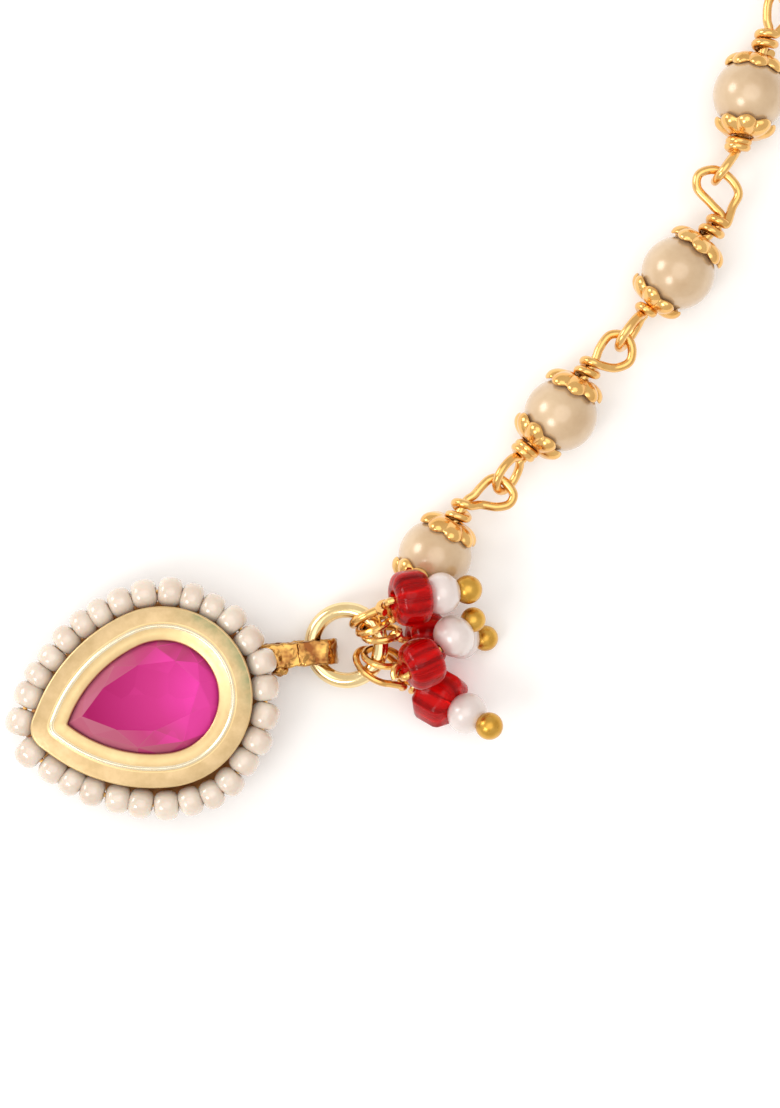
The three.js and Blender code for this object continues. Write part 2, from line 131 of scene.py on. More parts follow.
def newFinish(name):
    material = bpy.data.materials.new(name)
    material.use_nodes = True
    return material


def addNode(material, kind, inputs=None, **settings):
    node = material.node_tree.nodes.new(kind)
    for key, value in settings.items():
        setattr(node, key, value)
    for key, value in (inputs or {}).items():
        node.inputs[key].default_value = value
    return node


def join(material, start, startSocket, end, endSocket):
    material.node_tree.links.new(start.outputs[startSocket], end.inputs[endSocket])


def shaderOf(material):
    return material.node_tree.nodes["Principled BSDF"]


def speckle(material, scale, detail=3.0):
    place = addNode(material, "ShaderNodeTexCoord")
    noise = addNode(material, "ShaderNodeTexNoise", {"Scale": scale, "Detail": detail, "Roughness": 0.6})
    join(material, place, "Object", noise, "Vector")
    return noise


def ramp(material, source, socket, stops):
    node = addNode(material, "ShaderNodeValToRGB")
    join(material, source, socket, node, "Fac")
    line = node.color_ramp
    while len(line.elements) < len(stops):
        line.elements.new(0.5)
    for element, (position, colour) in zip(line.elements, stops):
        element.position = position
        element.color = (*colour, 1)
    return node


def spread(material, source, socket, fromLow, fromHigh, low, high):
    values = {"From Min": fromLow, "From Max": fromHigh, "To Min": low, "To Max": high}
    node = addNode(material, "ShaderNodeMapRange", values)
    join(material, source, socket, node, "Value")
    return node


def grain(material, source, socket, strength, distance):
    node = addNode(material, "ShaderNodeBump", {"Strength": strength, "Distance": distance * mm})
    join(material, source, socket, node, "Height")
    join(material, node, "Normal", shaderOf(material), "Normal")


def metalFinish(name, look):
    material = newFinish(name)
    shader = shaderOf(material)
    shader.inputs["Metallic"].default_value = 1.0
    patches = speckle(material, look["patchScale"])
    stops = [(0.5 - look["fade"], look["deep"]), (0.5 + look["fade"], look["bright"])]
    colour = ramp(material, patches, "Fac", stops)
    join(material, colour, "Color", shader, "Base Color")
    shader.inputs["Coat Weight"].default_value = look["lacquer"]
    shader.inputs["Coat Roughness"].default_value = 0.12
    wear = speckle(material, look["wearScale"], 5.0)
    rough = spread(material, wear, "Fac", 0.3, 0.7, look["smooth"], look["rough"])
    join(material, rough, "Result", shader, "Roughness")
    grain(material, wear, "Fac", look["bump"], look["bumpDepth"])
    return material


def addPatina(material, tint, scale):
    # a dull film where the attribute of the same name is high, broken up by noise
    shader = shaderOf(material)
    colour = shader.inputs["Base Color"].links[0].from_node
    place = addNode(material, "ShaderNodeAttribute", attribute_name="patina")
    cloud = speckle(material, scale, 4.0)
    broken = spread(material, cloud, "Fac", 0.35, 0.6, 0.4, 1.0)
    amount = addNode(material, "ShaderNodeMath", operation="MULTIPLY")
    join(material, place, "Fac", amount, 0)
    join(material, broken, "Result", amount, 1)
    mix = addNode(material, "ShaderNodeMix", data_type="RGBA")
    mix.inputs[7].default_value = (*tint, 1)
    join(material, amount, "Value", mix, 0)
    join(material, colour, "Color", mix, 6)
    join(material, mix, 2, shader, "Base Color")


goldLook = {"bright": (0.92, 0.57, 0.2), "deep": (0.78, 0.42, 0.11), "patchScale": 500,
            "wearScale": 2600, "fade": 0.2, "smooth": 0.14, "rough": 0.26, "bump": 0.15,
            "bumpDepth": 0.03, "lacquer": 0.5}
ringLook = {"bright": (0.97, 0.78, 0.44), "deep": (0.9, 0.66, 0.31), "patchScale": 400,
            "wearScale": 2400, "fade": 0.2, "smooth": 0.1, "rough": 0.18, "bump": 0.12,
            "bumpDepth": 0.03, "lacquer": 0.3}
ballLook = {"bright": (0.76, 0.45, 0.085), "deep": (0.58, 0.29, 0.03), "patchScale": 700,
            "wearScale": 3000, "fade": 0.2, "smooth": 0.26, "rough": 0.38, "bump": 0.2,
            "bumpDepth": 0.03, "lacquer": 0.3}
lipLook = {"bright": (0.83, 0.64, 0.34), "deep": (0.74, 0.53, 0.26), "patchScale": 400,
           "wearScale": 2200, "fade": 0.2, "smooth": 0.34, "rough": 0.46, "bump": 0.2,
           "bumpDepth": 0.03, "lacquer": 0.15}
# pale, near-white gold for the polished ridge: its base colour paints the ridge's highlight line
ridgeHighlightLook = {"bright": (0.99, 0.9, 0.68), "deep": (0.97, 0.82, 0.55), "patchScale": 900,
             "wearScale": 2200, "fade": 0.15, "smooth": 0.2, "rough": 0.34, "bump": 0.2,
             "bumpDepth": 0.03, "lacquer": 0.6}
plateLook = {"bright": (0.67, 0.49, 0.27), "deep": (0.53, 0.375, 0.185), "patchScale": 700,
             "wearScale": 5200, "fade": 0.2, "smooth": 0.36, "rough": 0.5, "bump": 0.3,
             "bumpDepth": 0.02, "lacquer": 0.1}
# dark brown finish for the cup's base and the wall below the plate: painted shade for the gap between plate
# and seed beads
recessShadeLook = {"bright": (0.5, 0.27, 0.1), "deep": (0.34, 0.14, 0.05), "patchScale": 500,
              "wearScale": 2200, "fade": 0.2, "smooth": 0.4, "rough": 0.6, "bump": 0.3,
              "bumpDepth": 0.04, "lacquer": 0.0}
castLook = {"bright": (0.76, 0.43, 0.11), "deep": (0.22, 0.065, 0.01), "patchScale": 600,
            "wearScale": 1900, "fade": 0.13, "smooth": 0.1, "rough": 0.22, "bump": 0.4,
            "bumpDepth": 0.08, "lacquer": 0.3}
gold = metalFinish("polishedGold", goldLook)
ringGold = metalFinish("paleRing", ringLook)
ballGold = metalFinish("satinBall", ballLook)
lipGold = metalFinish("satinLip", lipLook)
ridgeHighlightGold = metalFinish("paintedHighlightRidge", ridgeHighlightLook)
plateGold = metalFinish("satinPlate", plateLook)
recessShadeGold = metalFinish("paintedShadeRecess", recessShadeLook)
castGold = metalFinish("castGold", castLook)
addPatina(plateGold, (0.2, 0.26, 0.13), 1100)


def lustreFinish(name, look):
    material = newFinish(name)
    shader = shaderOf(material)
    shader.inputs["Metallic"].default_value = look["metal"]
    shader.inputs["Coat Weight"].default_value = look["coat"]
    shader.inputs["Coat Roughness"].default_value = look["coatRough"]
    shader.inputs["Coat IOR"].default_value = look["coatBend"]
    shader.inputs["Subsurface Weight"].default_value = look["soft"]
    shader.inputs["Subsurface Radius"].default_value = (1.0, 0.6, 0.4)
    shader.inputs["Subsurface Scale"].default_value = 0.8 * mm
    clouds = speckle(material, look["patchScale"], 4.0)
    colour = ramp(material, clouds, "Fac", [(0.32, look["deep"]), (0.68, look["bright"])])
    join(material, colour, "Color", shader, "Base Color")
    pores = speckle(material, look["poreScale"], 3.0)
    rough = spread(material, pores, "Fac", 0.3, 0.7, look["smooth"], look["rough"])
    join(material, rough, "Result", shader, "Roughness")
    grain(material, clouds, "Fac", look["bump"], 0.05)
    return material


champagneLook = {"bright": (0.7, 0.51, 0.31), "deep": (0.57, 0.38, 0.205), "patchScale": 260,
                 "poreScale": 1300, "smooth": 0.3, "rough": 0.4, "bump": 0.5, "coat": 1.0,
                 "coatRough": 0.2, "coatBend": 1.7, "soft": 0.0, "metal": 0.15}
whitePearlLook = {"bright": (0.79, 0.7, 0.67), "deep": (0.71, 0.61, 0.58), "patchScale": 420,
                  "poreScale": 1600, "smooth": 0.32, "rough": 0.42, "bump": 0.12, "coat": 1.0,
                  "coatRough": 0.2, "coatBend": 1.7, "soft": 0.05, "metal": 0.06}
seedLook = {"bright": (0.8, 0.71, 0.61), "deep": (0.68, 0.56, 0.46), "patchScale": 330,
            "poreScale": 1500, "smooth": 0.14, "rough": 0.24, "bump": 0.12, "coat": 1.0,
            "coatRough": 0.08, "coatBend": 1.6, "soft": 0.5, "metal": 0.0}
champagne = lustreFinish("champagnePearl", champagneLook)
whiteLustre = lustreFinish("whitePearl", whitePearlLook)
seedGlass = lustreFinish("creamSeed", seedLook)


def redGlassFinish(look):
    # clear red glass with cloudy streaks along the bore
    material = newFinish("redGlass")
    shader = shaderOf(material)
    shader.inputs["Transmission Weight"].default_value = look["clear"]
    shader.inputs["IOR"].default_value = look["bending"]
    threads = addNode(material, "ShaderNodeAttribute", attribute_name="around")
    streaks = addNode(material, "ShaderNodeTexNoise", {"Scale": look["streaks"], "Detail": 2.0})
    streaks.noise_dimensions = "1D"
    join(material, threads, "Fac", streaks, "W")
    colour = ramp(material, streaks, "Fac", [(0.35, look["deep"]), (0.65, look["bright"])])
    join(material, colour, "Color", shader, "Base Color")
    frost = speckle(material, 1800, 4.0)
    rough = spread(material, frost, "Fac", 0.3, 0.7, look["smooth"], look["rough"])
    join(material, rough, "Result", shader, "Roughness")
    grain(material, streaks, "Fac", 0.3, 0.1)
    return material


redGlass = redGlassFinish({"bright": (1.0, 0.008, 0.008), "deep": (0.34, 0.0005, 0.002), "streaks": 14,
                           "clear": 0.66, "bending": 1.25, "smooth": 0.05, "rough": 0.12})


def stoneFinish(name, look):
    # painted glow and reflections: colour lighter near a point inside the stone and deeper away from it,
    # shifted by cells as painted inner facets and from facet to facet as painted facet reflections
    material = newFinish(name)
    shader = shaderOf(material)
    shader.inputs["Roughness"].default_value = look["rough"]
    shader.inputs["Specular IOR Level"].default_value = look["shine"]
    place = addNode(material, "ShaderNodeTexCoord")
    centre = addNode(material, "ShaderNodeVectorMath", operation="DISTANCE")
    centre.inputs[1].default_value = (look["glowX"] * mm, look["glowY"] * mm, look["glowZ"] * mm)
    join(material, place, "Object", centre, 0)
    reach = spread(material, centre, "Value", 0.0, look["glowReach"] * mm, 0.0, 1.0)
    cells = addNode(material, "ShaderNodeTexVoronoi", {"Scale": look["cells"]})
    join(material, place, "Object", cells, "Vector")
    patches = spread(material, cells, "Color", 0.0, 1.0, -look["cellShift"], look["cellShift"])
    shift = addNode(material, "ShaderNodeMath", operation="ADD")
    join(material, patches, "Result", shift, 0)
    join(material, reach, "Result", shift, 1)
    facet = addNode(material, "ShaderNodeAttribute", attribute_name="facet")
    total = addNode(material, "ShaderNodeMath", operation="ADD")
    join(material, shift, "Value", total, 0)
    join(material, facet, "Fac", total, 1)
    colour = ramp(material, total, "Value", look["stops"])
    join(material, colour, "Color", shader, "Base Color")
    return material


# table: the painted glow, bright magenta near the point on the right, deep towards the tip
tableLook = {"shine": 0.1, "rough": 0.1, "glowX": 3.6, "glowY": 0.8, "glowZ": 6.9, "glowReach": 10,
             "cells": 420, "cellShift": 0.12,
             "stops": [(0.1, (0.79, 0.05, 0.38)), (0.4, (0.57, 0.032, 0.225)),
                       (0.95, (0.35, 0.005, 0.1))]}
# crown: the painted glow, with greyish stops towards the tip as painted reflections of the lights on the
# left
crownLook = {"shine": 0.2, "rough": 0.3, "glowX": 4.4, "glowY": 0.6, "glowZ": 6.2, "glowReach": 12,
             "cells": 420, "cellShift": 0.05,
             "stops": [(0.26, (0.74, 0.05, 0.34)), (0.42, (0.51, 0.05, 0.19)),
                       (0.62, (0.46, 0.1, 0.18)), (1.0, (0.47, 0.13, 0.2))]}
stoneTable = stoneFinish("stoneTable", tableLook)
stoneCrown = stoneFinish("stoneCrown", crownLook)
print("finishes ready")


# wires and lofted shapes

def smoothPath(points, spacing):
    ends = [points[0] * 2 - points[1]] + points + [points[-1] * 2 - points[-2]]
    path = []
    for before, start, end, after in zip(ends, ends[1:], ends[2:], ends[3:]):
        t1 = (start - before).length ** 0.5
        t2 = t1 + (end - start).length ** 0.5
        t3 = t2 + (after - end).length ** 0.5
        steps = max(1, round((end - start).length / spacing))
        for k in range(steps):
            t = t1 + (t2 - t1) * k / steps
            a = before.lerp(start, t / t1)
            b = start.lerp(end, (t - t1) / (t2 - t1))
            c = end.lerp(after, (t - t2) / (t3 - t2))
            path.append(a.lerp(b, t / t2).lerp(b.lerp(c, (t - t1) / (t3 - t1)), (t - t1) / (t2 - t1)))
    return path + [points[-1]]


def wirePiece(points, diameter, sides):
    clearAll()
    bpy.ops.curve.primitive_nurbs_path_add()
    piece = bpy.context.object
    curve = piece.data
    curve.splines.clear()
    line = curve.splines.new("POLY")
    line.points.add(len(points) - 1)
    for knot, place in zip(line.points, points):
        knot.co = (*(place * mm), 1)
    curve.dimensions = "3D"
    curve.bevel_depth = diameter / 2 * mm
    curve.bevel_resolution = (sides - 4) // 2
    curve.use_fill_caps = True
    takeOnly(piece)
    bpy.ops.object.convert(target="MESH")
    piece = bpy.context.object
    bpy.ops.object.mode_set(mode="EDIT")
    bpy.ops.mesh.select_all(action="SELECT")
    bpy.ops.mesh.remove_doubles(threshold=0.0002 * mm)  # joins the end caps to the tube
    bpy.ops.object.mode_set(mode="OBJECT")
    return piece


def coilAround(core, turns, radius, start, perTurn=14):
    # winds along the core from its first point, beginning on the start side
    lengths = [0.0]
    for a, b in zip(core, core[1:]):
        lengths.append(lengths[-1] + (b - a).length)
    count = max(3, round(turns * perTurn))
    side = start.copy()
    points = []
    for k in range(count + 1):
        reach = lengths[-1] * k / count
        i = min(max(j for j, length in enumerate(lengths) if length <= reach + 1e-9), len(core) - 2)
        along = (core[i + 1] - core[i]).normalized()
        middle = core[i] + along * (reach - lengths[i])
        side = (side - along * side.dot(along)).normalized()
        turn = 2 * math.pi * turns * k / count
        points.append(middle + side * radius * math.cos(turn) + along.cross(side) * radius * math.sin(turn))
    return points


def setRing(piece, ring):
    shape = bmesh.from_edit_mesh(piece.data)
    order = shape.verts.layers.int["order"]
    for corner in shape.verts:
        if corner.select:
            corner.co = ring[corner[order]] * mm
    bmesh.update_edit_mesh(piece.data)


def extrudeRings(rings, fill=True):
    # a circle set to the first ring, then extruded once for each further ring
    clearAll()
    bpy.ops.mesh.primitive_circle_add(vertices=len(rings[0]), radius=mm)
    piece = bpy.context.object
    bpy.ops.object.mode_set(mode="EDIT")
    shape = bmesh.from_edit_mesh(piece.data)
    order = shape.verts.layers.int.new("order")
    for index, corner in enumerate(shape.verts):
        corner[order] = index
    setRing(piece, rings[0])
    for ring in rings[1:]:
        bpy.ops.mesh.extrude_edges_move()
        setRing(piece, ring)
    if fill:
        pick(piece, "EDGE", lambda edge: edge.is_boundary)
        bpy.ops.mesh.fill_holes(sides=0)
    bpy.ops.mesh.select_all(action="SELECT")
    bpy.ops.mesh.normals_make_consistent(inside=False)
    bpy.ops.object.mode_set(mode="OBJECT")
    return piece


def boredBall(diameter, length, bore, segments=40, rings=24):
    clearAll()
    bpy.ops.mesh.primitive_uv_sphere_add(segments=segments, ring_count=rings, radius=diameter / 2 * mm)
    piece = bpy.context.object
    bpy.ops.object.mode_set(mode="EDIT")
    pick(piece, "FACE", lambda face: face.calc_center_median().xy.length < bore / 2 * mm)
    bpy.ops.mesh.delete(type="FACE")
    pick(piece, "EDGE", lambda edge: edge.is_boundary)
    shape = bmesh.from_edit_mesh(piece.data)
    mouth = max(corner.co.xy.length for corner in shape.verts if corner.select)
    widen = bore / 2 * mm / mouth
    bpy.ops.transform.resize(value=(widen, widen, 1))
    bpy.ops.mesh.bridge_edge_loops()
    bpy.ops.mesh.select_all(action="SELECT")
    bpy.ops.transform.resize(value=(1, 1, length / diameter))
    bpy.ops.mesh.normals_make_consistent(inside=False)
    bpy.ops.object.mode_set(mode="OBJECT")
    return piece


def barrelBead(look):
    # a cylinder bored through, its end edges rounded over and, where a groove is set, every few sides drawn
    # in a little
    radius = look["diameter"] / 2 * mm
    clearAll()
    bpy.ops.mesh.primitive_cylinder_add(vertices=look["sides"], radius=radius, depth=look["length"] * mm)
    piece = bpy.context.object
    bpy.ops.object.mode_set(mode="EDIT")
    pick(piece, "FACE", lambda face: abs(face.normal.z) > 0.9)
    bpy.ops.mesh.inset(thickness=radius - look["bore"] / 2 * mm)
    bpy.ops.mesh.delete(type="FACE")
    pick(piece, "EDGE", lambda edge: edge.is_boundary)
    bpy.ops.mesh.bridge_edge_loops()
    if look["groove"]:
        step = 2 * math.pi / look["sides"]
        pick(piece, "VERT", lambda corner: corner.co.xy.length > 0.9 * radius
             and round(math.atan2(corner.co.y, corner.co.x) / step) % look["grooveEvery"] == 0)
        bpy.ops.transform.resize(value=(1 - look["groove"], 1 - look["groove"], 1))
    pick(piece, "EDGE", lambda edge: abs(edge.verts[0].co.z - edge.verts[1].co.z) < 1e-7
         and min(corner.co.xy.length for corner in edge.verts) > 0.8 * radius)
    bpy.ops.mesh.bevel(offset=look["rounding"] * mm, segments=3, profile=0.5)
    bpy.ops.object.mode_set(mode="OBJECT")
    if look["levels"]:
        applyModifier(piece, "SUBSURF", levels=look["levels"], render_levels=look["levels"])
    return piece


# setting: a pear outline of a head circle, two flank arcs and a tip

pearShape = {"headRadius": 4.34, "tipDistance": 7.72, "flankRadius": 10.93, "tipPoint": 0.1,
             "turn": 16.1, "x": 0.36, "y": 0.06}
pearMiddle = Vector((pearShape["x"], pearShape["y"], 0))


def arcPoints(centre, radius, start, end, steps):
    turns = [start + (end - start) * k / steps for k in range(steps)]
    return [Vector((centre[0] + radius * math.cos(t), centre[1] + radius * math.sin(t), 0)) for t in turns]


def pearOutline(grow, head=72, flank=22, tip=18):
    r, d, big = pearShape["headRadius"], pearShape["tipDistance"], pearShape["flankRadius"]
    bend = math.asin((2 * big * r - r * r - d * d) / (2 * d * (big - r)))
    flankX = (big - r) * math.sin(bend)
    flankY = (big - r) * math.cos(bend)
    tangent = math.pi / 2 + bend
    tipAngle = math.atan2(flankY, -d - flankX)
    half = math.pi - tipAngle
    tipArc = []
    for k in range(tip):
        share = 2 * k / tip - 1
        reach = grow * (1 + pearShape["tipPoint"] * (1 - share * share) ** 2)
        tipArc.append(Vector((-d - reach * math.cos(half * share), -reach * math.sin(half * share), 0)))
    return (arcPoints((0, 0), r + grow, -tangent, tangent, head)
            + arcPoints((flankX, -flankY), big + grow, tangent, tipAngle, flank) + tipArc
            + arcPoints((flankX, flankY), big + grow, -tipAngle, -tangent, flank))


def atHeight(points, z):
    return [Vector((p.x, p.y, z)) for p in points]


# outwards growth and height of the cup's section, from its base over plate, ridge and lip to the cavity;
# the base flares out under the seed beads so that its dark finish shows between plate and beads as painted
# shade
cupProfile = [(3.45, 3.0), (3.65, 3.06), (3.7, 3.2), (3.5, 3.34), (2.6, 3.5), (2.6, 3.7), (2.6, 5.55),
              (2.7, 5.66), (2.97, 5.72), (3.0, 5.8), (3.0, 6.16), (2.96, 6.25), (2.86, 6.29),
              (1.74, 6.32), (1.58, 6.34), (1.5, 6.39), (1.46, 6.42), (1.4, 6.42), (1.34, 6.38),
              (1.26, 6.34), (0.8, 6.26), (0.35, 6.17), (0.27, 6.13), (0.23, 6.05), (0.23, 5.85),
              (0.62, 5.65), (0.62, 3.8)]
cupBase = {"rings": 4, "x": -0.1, "y": -0.3}
# heights that part the recess, the lip's slope and the ridge from the plate; the recess takes the dark
# finish as painted shade, the ridge the pale finish as painted highlight
cupZones = {"recess": 5.6, "slope": 6.0, "ridge": 6.36}
cupPatina = {"from": -30, "to": 70, "inner": 2.45, "outer": 2.92}


def markPatina(piece):
    # high at the plate's edge on the side of the ring, fading inwards
    look = cupPatina
    layer = piece.data.attributes.new("patina", "FLOAT", "POINT")
    for corner, value in zip(piece.data.vertices, layer.data):
        spot = corner.co / mm
        angle = math.degrees(math.atan2(spot.y, spot.x))
        reach = (spot.xy.length - pearShape["headRadius"] - look["inner"]) / (look["outer"] - look["inner"])
        middle = (look["from"] + look["to"]) / 2
        side = 1 - abs(angle - middle) / (look["to"] - middle)
        value.value = max(0, min(1, reach)) ** 2 * max(0, min(1, 2.5 * side))


def cupZone(face):
    # the face's place in the cup's list of finishes
    z = face.center.z
    # below the recess height: the dark finish, painted shade
    if z < cupZones["recess"] * mm:
        return 3
    # above the ridge height: the pale finish, painted highlight
    if z > cupZones["ridge"] * mm:
        return 2
    if 0.2 < face.normal.z < 0.997 and z > cupZones["slope"] * mm:
        return 1
    return 0


def makeCup():
    rings = [atHeight(pearOutline(grow), z) for grow, z in cupProfile]
    for ring in rings[:cupBase["rings"]]:
        for corner in ring:
            corner += Vector((cupBase["x"], cupBase["y"], 0))
    piece = extrudeRings(rings)
    bevelEdges(piece, 0.05, 2, 35)
    for finish in (plateGold, lipGold, ridgeHighlightGold, recessShadeGold):
        piece.data.materials.append(finish)
    for face in piece.data.polygons:
        face.material_index = cupZone(face)
    markPatina(piece)
    piece.rotation_euler.z = math.radians(pearShape["turn"])
    piece.location = pearMiddle * mm
    return finishPiece(piece, "setting_cup", "setting", plateGold, 30)


def stripPiece(path, middleY, width, thickness, across=6):
    # a flat strip bent along a side view path of x and z, closed at both ends
    rings = []
    for k, place in enumerate(path):
        ahead = (path[min(k + 1, len(path) - 1)] - path[max(k - 1, 0)]).normalized()
        lift = Vector((-ahead.z, 0, ahead.x)) * thickness / 2
        top = [place + lift + Vector((0, width * (i / across - 0.5), 0)) for i in range(across + 1)]
        low = [place - lift + Vector((0, width * (0.5 - i / across), 0)) for i in range(across + 1)]
        rings.append([corner + Vector((0, middleY, 0)) for corner in top + low])
    return extrudeRings(rings)


def roughen(piece, size, strength):
    clouds = bpy.data.textures.new("castClouds", "CLOUDS")
    clouds.noise_scale = size * mm
    applyModifier(piece, "DISPLACE", texture=clouds, texture_coords="LOCAL", mid_level=0.5,
                  strength=strength * mm)


bailShape = {"seam": 11.35, "foldX": 13.1, "foldZ": 1.8, "fold": 1.24, "y": 3.24, "width": 2.04,
             "thickness": 0.42, "cast": 0.34, "castSize": 0.65, "turn": 4, "pivotX": 8.6,
             "foldEnd": [(9.5, 2.15), (8.6, 2.25), (7, 2.25)],
             "tail": [(3.6, 2.72), (7, 2.72), (10, 2.7), (12.2, 2.56)]}


def sidePath(places):
    return [Vector((x, 0, z)) for x, z in places]


def makeBail():
    # a tail soldered behind the plate, and a strip folded round the ring whose upper end lies on the tail
    look = bailShape
    top = look["foldZ"] + look["fold"]
    low = look["foldZ"] - look["fold"]
    bend = [Vector((look["foldX"] + look["fold"] * math.cos(t), 0,
                    look["foldZ"] + look["fold"] * math.sin(t)))
            for t in [math.pi / 2 - math.pi * k / 16 for k in range(17)]]
    fold = sidePath([(look["seam"], top - 0.06), (look["seam"] + 0.8, top)]) + bend
    fold += sidePath([(11.7, low + 0.08)] + look["foldEnd"])
    tail = sidePath(look["tail"])
    for name, path, width, shift in (("setting_bail_fold", fold, look["width"], 0.0),
                                     ("setting_bail_tail", tail, look["width"] * 0.96, -0.06)):
        piece = stripPiece(smoothPath(path, 0.25), look["y"] + shift, width, look["thickness"])
        bevelEdges(piece, 0.1, 2, 50)
        applyModifier(piece, "SUBSURF", levels=1, render_levels=1)
        roughen(piece, look["castSize"], look["cast"])
        pivot = Vector((look["pivotX"], look["y"], 0)) * mm
        turn = Matrix.Rotation(math.radians(look["turn"]), 3, "Z")
        piece.rotation_euler.z = math.radians(look["turn"])
        piece.location = pivot - turn @ pivot
        finishPiece(piece, name, "setting", castGold, 60)


solderShape = {"x": 9.75, "y": 2.05, "z": 2.55, "long": 1.3, "wide": 1.0, "high": 0.9}


def makeSolder():
    # a drop of solder run out at the lower edge of the bail's tail
    look = solderShape
    clearAll()
    bpy.ops.mesh.primitive_ico_sphere_add(subdivisions=4, radius=0.5 * mm)
    piece = bpy.context.object
    piece.scale = (look["long"], look["wide"], look["high"])
    piece.location = Vector((look["x"], look["y"], look["z"])) * mm
    takeOnly(piece)
    bpy.ops.object.transform_apply(location=False, rotation=False, scale=True)
    roughen(piece, 0.5, 0.4)
    return finishPiece(piece, "setting_solder", "setting", castGold, 60)


clipShape = {"half": 4.2, "gap": 1.8, "thickness": 0.6, "width": 3.0, "topEnd": 1.5}


def makeClip():
    look = clipShape
    middle = look["gap"] / 2 + look["thickness"]
    bend = look["gap"] / 2 + look["thickness"] / 2
    low = look["thickness"] / 2
    path = [Vector((look["half"] * (1 - k / 6), 0, low)) for k in range(12)]
    path += [Vector((-look["half"] - bend * math.sin(t), 0, middle - bend * math.cos(t)))
             for t in [math.pi * k / 18 for k in range(19)]]
    path += [Vector((x, 0, middle + bend)) for x in (-3, -1.5, 0, look["topEnd"])]
    piece = stripPiece(path, 0, look["width"], look["thickness"])
    bevelEdges(piece, 0.15, 3, 50)
    piece.rotation_euler.z = math.radians(pearShape["turn"])
    return finishPiece(piece, "setting_clip", "setting", plateGold, 40)


makeCup()
makeBail()
makeSolder()
makeClip()
print("setting made")


# stone: rings of points drawn together into facets

stoneShape = {"grow": 0.48, "middleX": -1.6, "facetShift": 0.2}
# each ring of corners: how many, its turn, height, length share, width share and sideways shift
stoneRings = [(16, 0.0, 4.1, 0.55, 0.55, 0.0), (16, 0.0, 5.2, 1.0, 1.0, 0.0),
              (16, 0.0, 5.5, 1.0, 1.0, 0.0), (8, 0.5, 6.24, 0.87, 0.85, 0.05),
              (8, 0.0, 6.7, 0.76, 0.58, 0.3)]


def pearPlace(share, grow):
    # the point a share of the way round, from the tip
    outline = pearOutline(grow, 120, 60, 2)
    first = min(range(len(outline)), key=lambda k: outline[k].x)
    loop = outline[first:] + outline[:first + 1]
    lengths = [0.0]
    for a, b in zip(loop, loop[1:]):
        lengths.append(lengths[-1] + (b - a).length)
    reach = (share % 1) * lengths[-1]
    for k in range(len(loop) - 1):
        if lengths[k + 1] >= reach:
            return loop[k].lerp(loop[k + 1], (reach - lengths[k]) / (lengths[k + 1] - lengths[k]))
    return loop[-1]


def makeStone():
    look = stoneShape
    corners = []
    for count, offset, z, long, wide, shift in stoneRings:
        for k in range(count):
            spot = pearPlace((k + offset) / count, look["grow"])
            x = look["middleX"] + (spot.x - look["middleX"]) * long
            corners.append(Vector((x, spot.y * wide + shift, z)) * mm)
    clearAll()
    bpy.ops.mesh.primitive_circle_add(vertices=len(corners), radius=mm)
    piece = bpy.context.object
    bpy.ops.object.mode_set(mode="EDIT")
    shape = bmesh.from_edit_mesh(piece.data)
    for corner, place in zip(shape.verts, corners):
        corner.co = place
    bmesh.update_edit_mesh(piece.data)
    bpy.ops.mesh.delete(type="EDGE_FACE")
    bpy.ops.mesh.select_all(action="SELECT")
    bpy.ops.mesh.convex_hull(join_triangles=False)
    bpy.ops.mesh.select_all(action="SELECT")
    bpy.ops.mesh.dissolve_limited(angle_limit=math.radians(2))
    bpy.ops.object.mode_set(mode="OBJECT")
    bevelEdges(piece, 0.03, 1, 4)
    piece.data.materials.append(stoneTable)
    piece.data.materials.append(stoneCrown)
    # a random tone shift for each crown facet, painted as facets catching the light differently
    chance = random.Random(8)
    layer = piece.data.attributes.new("facet", "FLOAT", "FACE")
    for face, value in zip(piece.data.polygons, layer.data):
        flat = face.normal.z > 0.985
        face.material_index = 0 if flat else 1
        value.value = 0 if flat else chance.uniform(-1, 1) * look["facetShift"]
    piece.rotation_euler.z = math.radians(pearShape["turn"])
    piece.location = pearMiddle * mm
    return finishPiece(piece, "pear_stone", "stone", stoneTable, 3)


makeStone()
print("stone made")


# seed beads, strung along the pear outline with a wider gap at the tip

seedShape = {"z": 4.72, "shiftX": 0.05, "shiftY": -0.15, "inward": 0.15, "diameter": 2.58,
             "length": 1.92, "bore": 0.8, "sides": 14, "rounding": 0.72, "groove": 0.0, "levels": 1,
             "wire": 0.4, "sizeSpread": 0.04, "turnSpread": 9}
seedPlaces = [(-11.43, -1.82), (-10.72, 0.35), (-9.93, 1.98), (-8.87, 3.44), (-7.68, 4.94),
              (-6.31, 6.21), (-4.9, 7.1), (-3.22, 7.98), (-1.28, 8.68), (0.89, 8.83), (2.69, 8.33),
              (4.37, 7.54), (5.96, 6.53), (7.37, 4.84), (8.43, 3.04), (8.69, 0.92), (8.69, -1.38),
              (8.08, -3.46), (7.02, -5.17), (5.82, -6.85), (4.33, -7.91), (2.57, -8.47), (0.58, -8.82),
              (-1.54, -8.65), (-3.43, -8.26), (-5.51, -7.64), (-7.19, -6.85), (-8.78, -5.82),
              (-10.6, -4.46)]


